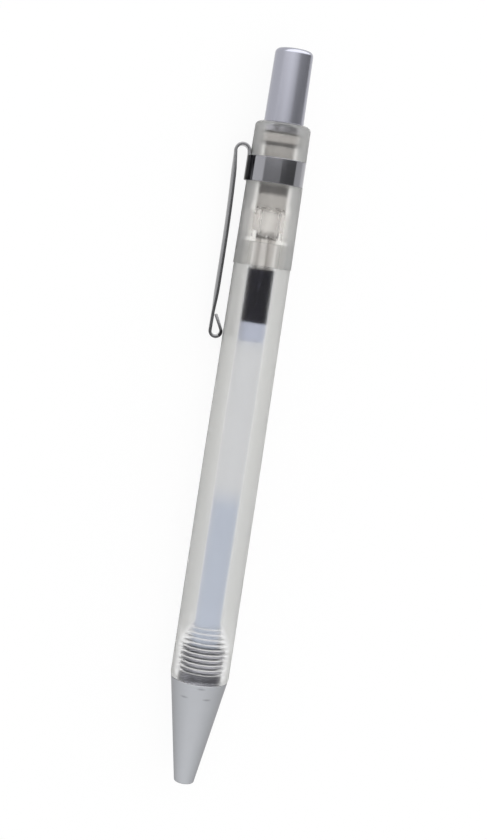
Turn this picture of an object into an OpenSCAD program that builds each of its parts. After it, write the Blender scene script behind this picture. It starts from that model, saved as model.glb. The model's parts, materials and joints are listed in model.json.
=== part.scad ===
// Retractable ballpoint pen with a clear frosted barrel, a push button and a banded steel pocket clip.
// The pen lies on a desk along +X, button end forward, and its clip stops it from rolling.
// Each piece is drawn along its own axis first: z is the distance from the nose end, +x points to the clip.

/* [Nose cone] */
// Length of the cone from the nose end to the barrel
cone_len = 19.7; // [19.2:0.1:21]
// Radius of the cone's small end
cone_tip_r = 1.78; // [1.7:0.02:1.9]
// Radius of the cone where it meets the barrel
cone_big_r = 5.38; // [5.2:0.02:5.5]
// Edge break at the small end
cone_edge = 0.3; // [0.1:0.05:0.35]
// Distance from the nose end to the step that the spring stands on
spring_seat_at = 7.6; // [7.3:0.1:8.2]
// Radius of the chamber that holds the spring
spring_room_r = 2.5; // [2.46:0.02:2.6]
// Length of the plain neck behind the cone
neck_len = 1.6; // [1.2:0.1:1.8]
// Length of the screwed part of the spigot
thread_len = 4.8; // [3.8:0.1:5.2]

/* [Screw thread] */
// Distance from ridge to ridge
thread_pitch = 0.96; // [0.8:0.02:1.1]
// Crest radius of the thread on the cone
thread_crest_r = 4.15; // [4.05:0.01:4.2]
// Height of a ridge
thread_depth = 0.3; // [0.15:0.01:0.35]
// Radial play between the two threads
thread_play = 0.08; // [0.05:0.01:0.1]
// Length of the thread inside the barrel
female_len = 9.7; // [7:0.1:11]

/* [Lower barrel] */
// Length of the lower barrel that shows
lower_len = 78.6; // [77.8:0.1:80]
// Radius of the straight grip section, which is the widest part of the pen
barrel_r = 5.52; // [5.5:0.01:5.7]
// Length of the taper that leads from the cone to the grip section
lead_len = 0.8; // [0.5:0.1:1.2]
// Length of the straight grip section
grip_len = 38; // [30:1:45]
// Radius of the lower barrel at its top end
waist_r = 5.38; // [5.3:0.01:5.45]
// Radius of the bore
bore_r = 4.05; // [4:0.01:4.1]
// Length of the spigot that enters the upper barrel
spigot_len = 4.4; // [3:0.1:4.6]
// Radius of the spigot
spigot_r = 4.66; // [4.6:0.01:4.75]

/* [Upper barrel] */
// Length of the upper barrel
upper_len = 27.2; // [26.8:0.1:28]
// Radius at the shoulder
shoulder_r = 5.28; // [5.22:0.01:5.35]
// Edge radius of the shoulder
shoulder_round = 1.1; // [0.8:0.1:1.2]
// Thickness of the end wall that the button passes through
end_wall = 1.85; // [1.6:0.05:2]
// Radius of the bore that the plunger's flange slides in
flange_bore_r = 4.34; // [4.3:0.01:4.4]
// Height of the guide lands
land_len = 5.1; // [4.6:0.1:5.4]
// Distance from the barrel joint to the lowest point of the lands
land_rise = 5.2; // [5:0.1:5.6]
// Angle that one groove between two lands takes
groove_angle = 38; // [37:0.5:42]
// Drop of the slanted end of a land
land_slant = 0.6; // [0.3:0.05:0.9]

/* [Push button] */
// Length of the button that stands out of the barrel at rest
button_out = 14.2; // [13.5:0.1:15]
// Radius of the button at its skirt
button_r = 3.75; // [3.7:0.01:3.8]
// Radius of the button near its top
button_top_r = 3.62; // [3.5:0.01:3.66]
// Edge radius of the button's top
button_round = 0.9; // [0.6:0.05:1.1]
// Rise of the shallow dome on top
button_dome = 0.18; // [0.05:0.01:0.3]
// Wall of the drawn metal shell
shell_wall = 0.4; // [0.3:0.05:0.5]
// Wall of the plunger's stub inside the shell
stub_wall = 0.8; // [0.6:0.1:1.2]
// Travel of the button
stroke = 6.5; // [6:0.1:6.6]

/* [Click mechanism] */
// Thickness of the plunger's flange
flange_len = 2.3; // [1.8:0.1:2.6]
// Radius of the plunger's flange
flange_r = 4.24; // [4.1:0.01:4.25]
// Radius of the plunger's tube and of the cam's head
cam_r = 2.9; // [2.8:0.01:2.95]
// Radius of the pin that centres the cam in the plunger
cam_pin_r = 1.7; // [1.5:0.02:1.8]
// Distance from the lowest point of the lands to the foot of the cam's ribs
rib_rise = 1.4; // [1.2:0.05:1.6]
// Height of the cam's ribs
rib_len = 3.2; // [2.9:0.05:3.3]
// Radius over the cam's ribs
rib_r = 3.9; // [3.8:0.01:3.92]
// Thickness of a rib
rib_w = 0.7; // [0.5:0.02:0.75]
// Angle that the cam turns while the button is pressed home
cam_step = 22.5; // [21:0.5:22.5]
// Height of a crown tooth
tooth_len = 0.8; // [0.4:0.05:0.9]
// Radius over the fins of the cam's stem
stem_r = 2.0; // [1.8:0.02:2.1]
// Thickness of a stem fin
fin_w = 1.15; // [0.9:0.05:1.3]
// Depth that the stem's nub enters the tail plug
nub_len = 0.66; // [0.4:0.02:0.75]

/* [Refill] */
// Distance of the ball's end inside the nose at rest
tip_inset = 2.5; // [2.2:0.1:2.8]
// Outer radius of the tube
tube_r = 2.95; // [2.9:0.01:2.98]
// Bore radius of the tube
tube_bore_r = 2.32; // [2.28:0.01:2.36]
// Length of the black tail plug
plug_len = 10.1; // [9:0.1:11]
// Length of the clear follower behind the ink
follower_len = 3.5; // [2.5:0.1:4.5]
// Radius of the metal point's straight part
point_r = 1.15; // [1.1:0.01:1.18]
// Length of the metal point's taper
point_taper = 3.0; // [2.7:0.1:3.2]
// Length of the metal point's straight part in front of its holder
point_len = 4.6; // [4.4:0.1:4.8]
// Length of the metal point held inside its holder
point_tail = 4.0; // [3.5:0.1:4.5]
// Radius of the point at the rim that holds the ball
point_rim_r = 0.46; // [0.43:0.01:0.5]
// Radius of the ball
ball_r = 0.35; // [0.3:0.01:0.36]
// Radius of the holder's nose
holder_r = 1.75; // [1.6:0.01:1.8]
// Length of the holder's nose
holder_len = 8.7; // [8.3:0.1:8.9]
// Thickness of the holder's flange
holder_flange = 1.2; // [0.9:0.1:1.3]
// Length of the holder's plug inside the tube
holder_plug = 5.2; // [4.5:0.1:5.6]

/* [Return spring] */
// Radius to the middle of the wire
spring_r = 2.12; // [2.1:0.01:2.2]
// Thickness of the wire
wire_d = 0.38; // [0.3:0.01:0.4]
// Number of coils
coils = 8; // [6:1:9]

/* [Pocket clip] */
// Height of the band round the barrel
band_h = 4.8; // [4:0.1:5.2]
// Thickness of the band
band_t = 0.3; // [0.2:0.02:0.36]
// Distance from the barrel's top to the band
band_drop = 6.8; // [6.4:0.1:7.4]
// Thickness of the clip strip
clip_t = 0.5; // [0.4:0.02:0.55]
// Width of the clip at the band
clip_w = 3.6; // [3:0.1:4.2]
// Width of the clip at its free end
clip_end_w = 3.0; // [2.6:0.1:3.6]
// Distance from the pen's axis to the arm at its top, to the middle of the strip
arm_x = 8.22; // [8:0.02:8.6]
// Distance from the pen's axis to the arm at its waist
arm_waist_x = 7.74; // [7.6:0.02:8]
// Distance from the pen's axis to the arm at its loop
arm_end_x = 7.9; // [7.8:0.02:8.1]
// Length from the band's top to the end of the loop
clip_len = 35; // [33:0.5:36]
// Height of the arch's centre over the band's top edge
arch_rise = 0.6; // [0.4:0.05:1]
// Gap between the loop and the barrel
loop_gap = 0.05; // [0.03:0.01:0.1]

/* [Hidden] */
$fn = 96;
// Clearances: a light press, a running fit, a loose slide, and the play of crown teeth at rest
press_gap = 0.02;
run_gap = 0.1;
slide_gap = 0.15;
tooth_gap = 0.05;
ball_gap = 0.02;
// Room left in front of the refill's holder when the button is pressed home
end_play = 0.4;
// Two keys on the wall of the flange's bore, which the flange's notches ride on
key_depth = 0.4;
key_w = 0.9;
// Sides of the spring's wire, and rings in one coil
wire_sides = 6;
rings_per_coil = 16;
// Radius of the stem's nub as a share of a fin's thickness, and of the holder's front as a share of its nose
nub_share = 0.8;
holder_front_share = 0.92;
// How far a cut passes the face that it opens
over = 0.5;
round_steps = 6;

// Stations along the axis
barrel_at = cone_len;
joint_at = barrel_at + lower_len;
barrel_top = joint_at + upper_len;
button_end = barrel_top + button_out;
thread_at = barrel_at + neck_len;
spigot_end = thread_at + thread_len;
flange_top = barrel_top - end_wall - press_gap;
flange_foot = flange_top - flange_len;
land_foot = joint_at + land_rise;
rib_foot = land_foot + rib_rise;
cam_top = rib_foot + rib_len + press_gap;
peak_at = cam_top + tooth_len;
plunger_foot = peak_at + tooth_gap;
band_top = barrel_top - band_drop;
band_foot = band_top - band_h;
ball_at = tip_inset + ball_r;
point_rim_at = tip_inset + ball_r / 2;
point_shoulder = tip_inset + point_taper;
holder_at = point_shoulder + point_len;
holder_flange_at = holder_at + holder_len;
tube_at = holder_flange_at + holder_flange;
// The tail plug ends level with the barrel joint, less the stretch that the stem's fins dip into the tube
plug_drop = 0.6;
plug_top = joint_at - plug_drop;
plug_foot = plug_top - plug_len;
tube_lip = 0.2;
tube_top = plug_top + tube_lip;
ink_foot = tube_at + holder_plug + press_gap;
ink_top = plug_foot - follower_len - press_gap;

// Radii worked out from the fits
button_hole_r = button_r + run_gap;
nub_r = fin_w * nub_share;
land_r = cam_r + run_gap;
stub_r = button_r - shell_wall - press_gap;
stub_top_r = button_top_r - shell_wall - press_gap;
tube_room_r = tube_r + slide_gap;
point_bore_r = point_r + slide_gap;
holder_room_r = holder_r + slide_gap;
point_bore_len = holder_at - stroke - end_play;
tube_room_at = holder_flange_at - stroke - run_gap;
neck_r = thread_crest_r;
neck_room_r = neck_r + thread_play;
band_mid = (band_foot + band_top) / 2;
band_r = barrel_r + (shoulder_r - barrel_r) * (band_mid - joint_at) / upper_len;
band_seat_r = band_r - band_t;

// Spring between its seat and the refill's flange
spring_foot = spring_seat_at + wire_d / 2 + press_gap;
spring_head = holder_flange_at - wire_d / 2 - press_gap;
spring_rise = (spring_head - spring_foot) / coils;

// Clip outline, seen from the side
root_x = band_r + press_gap + clip_t / 2;
arch_r = (arm_x - root_x) / 2;
arch_x = (arm_x + root_x) / 2;
arch_at = band_top + arch_rise;
arch_top = arch_at + arch_r;
clip_end = band_top - clip_len;
loop_side_x = barrel_r + loop_gap + clip_t / 2;
loop_r = (arm_end_x - loop_side_x) / 2;
loop_x = (arm_end_x + loop_side_x) / 2;
loop_at = clip_end + clip_t / 2 + loop_r;
waist_at = (arch_at + loop_at) / 2;

// The pen rests on its grip and on the clip's top corner
clip_far = arm_x + clip_t / 2;
clip_half = clip_w / 2;
rest_roll = asin(barrel_r / norm([clip_far, clip_half])) - atan2(clip_half, clip_far);
clip_reach = clip_far * cos(rest_roll) + clip_half * sin(rest_roll);
axis_y = (barrel_r - clip_reach) / 2;
axis_z = barrel_r;

// Finishes
frosted = [0.80, 0.80, 0.80, 0.6];
silver = [0.66, 0.66, 0.70];
steel = [0.45, 0.45, 0.45];
satin = [0.68, 0.68, 0.70];
milky = [0.86, 0.84, 0.82];
tube_tint = [0.78, 0.81, 0.87, 0.7];
gel_tint = [0.72, 0.77, 0.90, 0.7];
ink_tint = [0.74, 0.77, 0.84];
plug_black = [0.17, 0.16, 0.18];
nickel_silver = [0.72, 0.70, 0.64];
carbide = [0.5, 0.5, 0.52];

// Puts a piece drawn along its own axis where it lies on the desk
module lie() {
    translate([-button_end / 2, axis_y, axis_z])
        rotate([90 - rest_roll, 0, 0])
            rotate([0, 90, 0])
                children();
}

// A turned piece from the outline of its half section
module turned(outline) {
    rotate_extrude() polygon(outline);
}

// Bore or shaft between two stations
module rod(r, foot, top) {
    translate([0, 0, foot]) cylinder(r = r, h = top - foot);
}

// Points of a quarter round from the angle a to the angle b about a centre
function bend(cx, cy, r, a, b, steps = round_steps) =
    [for (i = [0 : steps]) let (t = a + (b - a) * i / steps) [cx + r * cos(t), cy + r * sin(t)]];

// Ridges of a thread between two stations, as points of a half section with the crest radius r
function ridges(r, foot, count) =
    [for (i = [0 : count - 1]) each [
        [r - thread_depth, foot + i * thread_pitch],
        [r, foot + (i + 0.5) * thread_pitch]]];

// V teeth on a solid base: root is the plane that they stand on, up is 1 or -1, depth is the base's height
module crown(root, up, depth, count = 8) {
    tooth_half = cam_r * tan(180 / count);
    for (i = [0 : count - 1])
        rotate([0, 0, i * 360 / count])
            translate([0, 0, root])
                rotate([90, 0, 90])
                    linear_extrude(height = cam_r + over)
                        polygon([[-tooth_half, -up * depth], [tooth_half, -up * depth], [tooth_half, 0],
                            [0, up * tooth_len], [-tooth_half, 0]]);
}

module push_button() {
    color(silver) lie() difference() {
        turned(concat(
            [[0, flange_top + press_gap], [button_r, flange_top + press_gap], [button_r, barrel_top]],
            bend(button_top_r - button_round, button_end - button_dome - button_round, button_round, 0, 80),
            [[0, button_end]]));
        turned([[0, flange_top - over], [button_r - shell_wall, flange_top - over],
            [button_r - shell_wall, barrel_top],
            [button_top_r - shell_wall, button_end - button_round - shell_wall],
            [0, button_end - button_dome - shell_wall]]);
    }
}

module plunger() {
    stub_top = button_end - button_round - 2 * shell_wall;
    notch_w = key_w + 2 * run_gap;
    color(milky) lie() difference() {
        union() {
            turned([[0, flange_foot], [flange_r, flange_foot], [flange_r, flange_top], [stub_r, flange_top],
                [stub_r, barrel_top], [stub_top_r, stub_top], [0, stub_top]]);
            intersection() {
                rod(cam_r, plunger_foot - over, flange_foot + flange_len / 2);
                crown(plunger_foot + tooth_len, -1, flange_foot - plunger_foot);
            }
        }
        // Bore for the cam's pin, and the hollow of the stub
        rod(cam_pin_r + run_gap, plunger_foot - over, flange_foot);
        rod(stub_top_r - stub_wall, flange_top, stub_top + over);
        // Notches that ride on the barrel's two keys
        for (side = [-1, 1])
            translate([-notch_w / 2, side > 0 ? flange_r - key_depth - run_gap : -flange_r - over,
                flange_foot - over])
                cube([notch_w, key_depth + run_gap + over, flange_len + over + press_gap / 2]);
    }
}

module rotary_cam() {
    pin_len = 4.4;
    fin_foot = plug_top + tooth_gap;
    fin_turn = -12;
    color(milky) lie() {
        union() {
            intersection() {
                rod(cam_r, rib_foot, peak_at + over);
                crown(cam_top, 1, rib_len + over);
            }
            rod(cam_pin_r, rib_foot, peak_at + pin_len);
            // Ribs with slanted tops
            for (i = [0 : 3])
                rotate([0, 0, 45 - cam_step / 2 + i * 90])
                    intersection() {
                        rod(rib_r, rib_foot, cam_top);
                        translate([cam_r / 2, 0, 0])
                            rotate([90, 0, 90])
                                linear_extrude(height = rib_r)
                                    polygon([[-rib_w / 2, rib_foot], [rib_w / 2, rib_foot],
                                        [rib_w / 2, cam_top - rib_w / 2], [-rib_w / 2, cam_top - press_gap]]);
                    }
            // Cross-shaped stem and the nub on its end
            intersection() {
                rod(stem_r, fin_foot, rib_foot + over);
                rotate([0, 0, fin_turn])
                    for (a = [0, 90])
                        rotate([0, 0, a])
                            translate([-stem_r, -fin_w / 2, fin_foot])
                                cube([2 * stem_r, fin_w, rib_foot + over - fin_foot]);
            }
            rod(nub_r, plug_top - nub_len, rib_foot);
        }
    }
}

module upper_barrel() {
    socket_top = joint_at + spigot_len + press_gap;
    color(frosted) lie() {
        difference() {
            turned(concat(
                [[0, joint_at], [barrel_r, joint_at]],
                bend(shoulder_r - shoulder_round, barrel_top - shoulder_round, shoulder_round, 0, 90),
                [[0, barrel_top]]));
            rod(spigot_r + press_gap, joint_at - over, socket_top);
            rod(flange_bore_r, socket_top - over, flange_top + press_gap);
            rod(button_hole_r, flange_top, barrel_top + over);
            // Seat of the band
            difference() {
                rod(barrel_r + over, band_foot, band_top);
                rod(band_seat_r, band_foot - over, band_top + over);
            }
        }
        guide_lands();
        barrel_keys();
    }
}

// Four lands with a slanted, stepped foot, between the grooves that the cam's ribs slide in
module guide_lands() {
    land_angle = 90 - groove_angle;
    for (i = [0 : 3])
        rotate([0, 0, 45 + groove_angle / 2 + i * 90])
            difference() {
                translate([0, 0, land_foot])
                    rotate_extrude(angle = land_angle)
                        translate([land_r, 0])
                            square([flange_bore_r + press_gap - land_r, land_len]);
                for (half = [0, 1])
                    rotate([0, 0, land_angle * (half + 0.5) / 2])
                        land_ramp(land_angle / 2);
            }
}

// Wedge that slants the foot of half a land
module land_ramp(angle) {
    half_w = flange_bore_r * tan(angle / 2);
    rotate([90, 0, 90])
        linear_extrude(height = flange_bore_r + over)
            polygon([[-half_w, land_foot - over], [half_w, land_foot - over], [half_w, land_foot],
                [-half_w, land_foot + land_slant]]);
}

// Two keys on the bore's wall that stop the plunger from turning
module barrel_keys() {
    key_foot = flange_foot - stroke - run_gap;
    for (side = [-1, 1])
        intersection() {
            difference() {
                rod(flange_bore_r + press_gap, key_foot, flange_top + press_gap);
                rod(flange_r - key_depth, key_foot - over, flange_top + over);
            }
            translate([-key_w / 2, side > 0 ? 0 : -flange_bore_r - over, key_foot])
                cube([key_w, flange_bore_r + over, flange_top + press_gap - key_foot]);
        }
}

module lower_barrel() {
    ridge_count = floor(female_len / thread_pitch);
    female_r = thread_crest_r + thread_play;
    female_end = thread_at + ridge_count * thread_pitch;
    grip_at = barrel_at + lead_len;
    color(frosted) lie() difference() {
        turned([[0, barrel_at], [cone_big_r, barrel_at], [barrel_r, grip_at], [barrel_r, grip_at + grip_len],
            [waist_r, joint_at - press_gap], [spigot_r, joint_at - press_gap],
            [spigot_r, joint_at + spigot_len], [0, joint_at + spigot_len]]);
        rod(neck_room_r, barrel_at - over, thread_at + thread_pitch / 2);
        turned(concat([[0, thread_at]], ridges(female_r, thread_at, ridge_count),
            [[female_r - thread_depth, female_end], [0, female_end]]));
        rod(bore_r - thread_depth / 2, female_end - over, female_end + thread_pitch);
        rod(bore_r, female_end + thread_pitch / 2, joint_at + spigot_len + over);
    }
}

module nose_cone() {
    ridge_count = floor(thread_len / thread_pitch);
    slope = (cone_big_r - cone_tip_r) / cone_len;
    cone_angle = atan(slope);
    edge_x = cone_tip_r + slope * cone_edge - cone_edge / cos(cone_angle);
    ridge_end = thread_at + ridge_count * thread_pitch;
    color(satin) lie() difference() {
        turned(concat(
            [[0, 0]],
            bend(edge_x, cone_edge, cone_edge, -90, -cone_angle, 4),
            [[cone_big_r, cone_len - press_gap], [neck_r, cone_len - press_gap], [neck_r, thread_at]],
            ridges(thread_crest_r, thread_at, ridge_count),
            [[thread_crest_r - thread_depth, ridge_end], [thread_crest_r - thread_depth, spigot_end],
                [0, spigot_end]]));
        rod(point_bore_r, -over, point_bore_len + over);
        rod(holder_room_r, point_bore_len, spring_seat_at + over);
        rod(spring_room_r, spring_seat_at, tube_room_at + over);
        rod(tube_room_r, tube_room_at, spigot_end + over);
    }
}

module refill_tube() {
    color(tube_tint) lie() difference() {
        rod(tube_r, tube_at, tube_top);
        rod(tube_bore_r, tube_at - over, tube_top + over);
    }
}

module tail_plug() {
    vent_r = 0.4;
    color(plug_black) lie() difference() {
        rod(tube_bore_r - press_gap, plug_foot, plug_top);
        rod(nub_r + run_gap, plug_top - nub_len - run_gap, plug_top + over);
        rod(vent_r, plug_foot - over, plug_top);
    }
}

module ink_follower() {
    color(gel_tint) lie()
        rod(tube_bore_r - press_gap, ink_top + press_gap, plug_foot - press_gap);
}

module ink_column() {
    color(ink_tint) lie() rod(tube_bore_r - press_gap, ink_foot, ink_top);
}

module tip_holder() {
    throat_r = 0.8;
    flange_edge_r = tube_r - press_gap;
    holder_plug_r = tube_bore_r - press_gap;
    color(milky) lie() difference() {
        turned([[0, holder_at], [holder_r * holder_front_share, holder_at], [holder_r, holder_flange_at],
            [flange_edge_r, holder_flange_at], [flange_edge_r, tube_at - press_gap],
            [holder_plug_r, tube_at - press_gap], [holder_plug_r, tube_at + holder_plug],
            [0, tube_at + holder_plug]]);
        rod(point_r - press_gap, holder_at - over, holder_at + point_tail + press_gap);
        rod(throat_r, holder_at, tube_at + holder_plug + over);
    }
}

module writing_tip() {
    channel_r = 0.18;
    tail_r = point_r - 2 * press_gap;
    color(nickel_silver) lie() difference() {
        turned([[0, point_rim_at], [point_rim_r, point_rim_at], [point_r, point_shoulder],
            [point_r, holder_at - press_gap], [tail_r, holder_at - press_gap],
            [tail_r, holder_at + point_tail], [0, holder_at + point_tail]]);
        translate([0, 0, ball_at]) sphere(r = ball_r + ball_gap);
        rod(channel_r, ball_at, holder_at + point_tail + over);
    }
}

module tip_ball() {
    color(carbide) lie() translate([0, 0, ball_at]) sphere(r = ball_r, $fn = 32);
}

// Points round the spring's wire at its ring i
function spring_ring(i) =
    let (a = i * 360 / rings_per_coil, z = spring_foot + spring_rise * i / rings_per_coil)
    [for (k = [0 : wire_sides - 1]) let (b = k * 360 / wire_sides, r = spring_r + wire_d / 2 * cos(b))
        [r * cos(a), r * sin(a), z + wire_d / 2 * sin(b)]];

module return_spring() {
    rings = coils * rings_per_coil;
    last = rings * wire_sides;
    points = [for (i = [0 : rings]) each spring_ring(i)];
    sides = [for (i = [0 : rings - 1], k = [0 : wire_sides - 1])
        let (a = i * wire_sides + k, b = i * wire_sides + (k + 1) % wire_sides)
        each [[a, b, b + wire_sides], [a, b + wire_sides, a + wire_sides]]];
    caps = [for (k = [1 : wire_sides - 2]) each [[0, k + 1, k], [last, last + k, last + k + 1]]];
    echo(least_gap_of_the_spring_to_itself = spring_rise - wire_d);
    color(steel) lie() polyhedron(points, concat(sides, caps));
}

module clip_band() {
    seam = 0.3;
    color(steel) lie() difference() {
        rod(band_r, band_foot + press_gap, band_top - press_gap);
        rod(band_seat_r + press_gap, band_foot - over, band_top + over);
        translate([0, -seam / 2, band_foot - over]) cube([band_r + over, seam, band_h + 2 * over]);
    }
}

// Place of the clip's arm at the station z
function arm_place(z) =
    let (end_x = z > waist_at ? arm_x : arm_end_x,
        reach = z > waist_at ? arch_at - waist_at : waist_at - loop_at)
    arm_waist_x + (end_x - arm_waist_x) * pow((z - waist_at) / reach, 2);

// Direction from one point of a path to the next, turned a quarter
function across(p, i) =
    let (a = p[max(i - 1, 0)], b = p[min(i + 1, len(p) - 1)], d = (b - a) / norm(b - a)) [-d[1], d[0]];

// Side view of a strip of the clip's thickness along a path
module strip(path) {
    n = len(path) - 1;
    polygon(concat(
        [for (i = [0 : n]) path[i] + across(path, i) * clip_t / 2],
        [for (i = [n : -1 : 0]) path[i] - across(path, i) * clip_t / 2]));
}

// A side view at its place, as wide as the clip
module clip_wide() {
    rotate([90, 0, 0]) translate([0, 0, -clip_w / 2]) linear_extrude(height = clip_w) children();
}

module clip_root() {
    leg = concat([[root_x, band_top - clip_t], [root_x, arch_at]], bend(arch_x, arch_at, arch_r, 170, 100, 8),
        [[arch_x - clip_t / 8, arch_top], [arch_x - press_gap / 2, arch_top]]);
    color(steel) lie() union() {
        intersection() {
            difference() {
                rod(band_r + press_gap + clip_t, band_foot, band_top);
                rod(band_r + press_gap, band_foot - over, band_top + over);
            }
            translate([0, -clip_w / 2, band_foot]) cube([root_x + clip_t, clip_w, band_h]);
        }
        difference() {
            clip_wide() strip(leg);
            rod(band_r + press_gap, band_foot, band_top);
        }
    }
}

module clip_arm() {
    arm_steps = 14;
    tail_at = loop_at + 3 * loop_r;
    tail_x = arm_end_x - clip_t - press_gap - clip_t / 4;
    path = concat(
        [[arch_x + press_gap / 2, arch_top], [arch_x + clip_t / 8, arch_top]],
        bend(arch_x, arch_at, arch_r, 80, 10, 8),
        [for (i = [0 : arm_steps]) let (z = arch_at + (loop_at - arch_at) * i / arm_steps) [arm_place(z), z]],
        bend(loop_x, loop_at, loop_r, -15, -200, 12),
        [[tail_x, tail_at]]);
    color(steel) lie() intersection() {
        clip_wide() strip(path);
        rotate([0, 90, 0]) linear_extrude(height = clip_far + over)
            polygon([[-arch_top - clip_t, -clip_w / 2], [-arch_at, -clip_w / 2],
                [-clip_end + over, -clip_end_w / 2], [-clip_end + over, clip_end_w / 2],
                [-arch_at, clip_w / 2], [-arch_top - clip_t, clip_w / 2]]);
    }
}

push_button();
plunger();
rotary_cam();
upper_barrel();
lower_barrel();
clip_band();
clip_root();
clip_arm();
nose_cone();
return_spring();
refill_tube();
tail_plug();
ink_follower();
ink_column();
tip_holder();
writing_tip();
tip_ball();
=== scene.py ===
"""Retractable ballpoint pen with a frosted barrel: the looks of its pieces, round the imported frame."""

import json
import logging
import math
from dataclasses import dataclass
from enum import Enum
from typing import Callable, Sequence

import bmesh
import bpy
from bmesh.types import BMesh, BMEdge, BMVert
from bpy.types import Material, Node, NodeSocket, NodeTree, Object
from mathutils import Matrix, Vector


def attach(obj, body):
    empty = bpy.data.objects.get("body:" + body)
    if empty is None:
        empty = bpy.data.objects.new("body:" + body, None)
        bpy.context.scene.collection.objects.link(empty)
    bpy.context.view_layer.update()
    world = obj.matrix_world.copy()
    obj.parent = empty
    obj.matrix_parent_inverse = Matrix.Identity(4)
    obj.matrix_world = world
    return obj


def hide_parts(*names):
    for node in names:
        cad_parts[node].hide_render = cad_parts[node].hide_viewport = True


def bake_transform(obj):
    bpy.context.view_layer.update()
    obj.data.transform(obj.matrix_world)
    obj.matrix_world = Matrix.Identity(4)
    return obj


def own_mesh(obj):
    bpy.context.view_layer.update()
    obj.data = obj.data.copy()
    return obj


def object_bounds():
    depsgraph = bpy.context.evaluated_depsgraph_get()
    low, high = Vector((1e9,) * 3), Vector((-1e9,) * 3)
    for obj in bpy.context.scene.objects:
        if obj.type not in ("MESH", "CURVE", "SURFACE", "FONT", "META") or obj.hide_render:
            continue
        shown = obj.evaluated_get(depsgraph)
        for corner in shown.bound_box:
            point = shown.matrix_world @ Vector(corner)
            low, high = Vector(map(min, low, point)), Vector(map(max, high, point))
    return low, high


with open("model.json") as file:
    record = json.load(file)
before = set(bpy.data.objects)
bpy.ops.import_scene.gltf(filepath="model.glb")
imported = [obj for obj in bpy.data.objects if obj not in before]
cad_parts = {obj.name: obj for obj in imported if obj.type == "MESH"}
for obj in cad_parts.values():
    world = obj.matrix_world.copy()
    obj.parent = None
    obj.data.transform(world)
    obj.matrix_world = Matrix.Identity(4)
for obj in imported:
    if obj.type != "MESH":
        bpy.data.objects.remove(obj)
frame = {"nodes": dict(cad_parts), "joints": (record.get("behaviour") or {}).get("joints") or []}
CAD_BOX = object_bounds()

log = logging.getLogger("pen")

MM = 0.001                          # the pen is drawn in millimetres, the frame is in metres
ROUND_STEPS = 128                   # faces round the barrel and what shows on it
SMALL_STEPS = 64                    # faces round the refill
FILLET_STEPS = 4
SHARP_ANGLE = math.radians(33.0)
MERGE_GAP = 1e-4                    # in mm
FLAT_WEIGHT = 90                    # how much a large face straightens the normals beside it
IMAGE_LONG_SIDE = 840.0             # in pixels
SENSOR = 36.0                       # in mm
ALONG = Vector((1.0, 0.0, 0.0))     # the pen's axis in the shared frame

Pair = tuple[float, float]
Triple = tuple[float, float, float]
Colour = tuple[float, float, float, float]
Sky = tuple[Pair, ...]
Rings = tuple[tuple[float, float, str], ...]


class Body(str, Enum):
    """Bodies of the moving frame that pieces ride on."""

    BARREL = "barrel"
    BUTTON = "button"
    REFILL = "refill"
    CLIP = "clip"
    NOSE = "nose"


class Wall(int, Enum):
    """Material index of a face: the finished outside of a piece, or its inner or machined side."""

    OUTER = 0
    INNER = 1


def linear(code: str) -> Colour:
    """Turn an sRGB hex colour, #rrggbb, into red, green, blue and alpha in linear light."""
    parts = [int(code[i:i + 2], 16) / 255.0 for i in (1, 3, 5)]
    light = [c / 12.92 if c <= 0.04045 else ((c + 0.055) / 1.055) ** 2.4 for c in parts]
    return light[0], light[1], light[2], 1.0


def add_node(tree: NodeTree, kind: str, settings: dict | None = None, links: dict | None = None) -> Node:
    """Add one node to a tree, with its settings and the links into its inputs.

    Args:
        tree: The node tree.
        kind: The node's type name after "ShaderNode".
        settings: Attribute values by name, or input values by name or number; a hex code is a colour.
        links: Sockets, or nodes for their first output, by the input's name or number.

    Returns:
        The new node.
    """
    node = tree.nodes.new("ShaderNode" + kind)
    for key, value in (settings or {}).items():
        if isinstance(key, str) and hasattr(node, key):
            setattr(node, key, value)
        else:
            coded = isinstance(value, str) and value.startswith("#")
            node.inputs[key].default_value = linear(value) if coded else value
    for key, source in (links or {}).items():
        tree.links.new(source.outputs[0] if isinstance(source, Node) else source, node.inputs[key])
    return node


def new_material(name: str) -> tuple[Material, NodeTree]:
    """Make a material of the given name, and give it with its cleared node tree."""
    material = bpy.data.materials.new(name)
    material.use_nodes = True
    material.node_tree.nodes.clear()
    return material, material.node_tree


def finish_with(material: Material, kind: str, settings: dict | None, links: dict) -> Material:
    """End a material with its shader.

    Args:
        material: The material.
        kind: The shader node's type name after "ShaderNode".
        settings: The shader's values, as for add_node.
        links: The shader's links, as for add_node.

    Returns:
        The material.
    """
    shader = add_node(material.node_tree, kind, settings, links)
    add_node(material.node_tree, "OutputMaterial", links={"Surface": shader})
    return material


@dataclass(frozen=True)
class PenFrame:
    """Where the pen lies: stations s run from the nose's end, x goes to the clip, y to the viewer."""

    nose_end: Vector
    to_clip: Vector
    to_view: Vector

    @classmethod
    def read(cls) -> "PenFrame":
        """Take the pen's axes from the frame's joints and box."""
        joints = {joint["name"]: joint for joint in frame["joints"]}
        on_axis = joints["nose_turn"]["pos_m"]
        to_view = -Vector(joints["clip_flex"]["axis"]).normalized()
        return cls(Vector((CAD_BOX[0].x, on_axis[1], on_axis[2])), to_view.cross(ALONG), to_view)

    def matrix(self) -> Matrix:
        """Matrix from the pen's own millimetres (s, x, y) to the shared frame in metres."""
        turn = Matrix((ALONG, self.to_clip, self.to_view)).transposed().to_4x4()
        return Matrix.Translation(self.nose_end) @ turn @ Matrix.Scale(MM, 4)

    def place(self, s: float, x: float = 0.0, y: float = 0.0) -> Vector:
        """Give a point of the pen in the shared frame.

        Args:
            s: Station from the nose's end in mm.
            x: Distance towards the clip in mm.
            y: Distance towards the viewer in mm.

        Returns:
            The point in metres.
        """
        return self.matrix() @ Vector((s, x, y))


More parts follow.
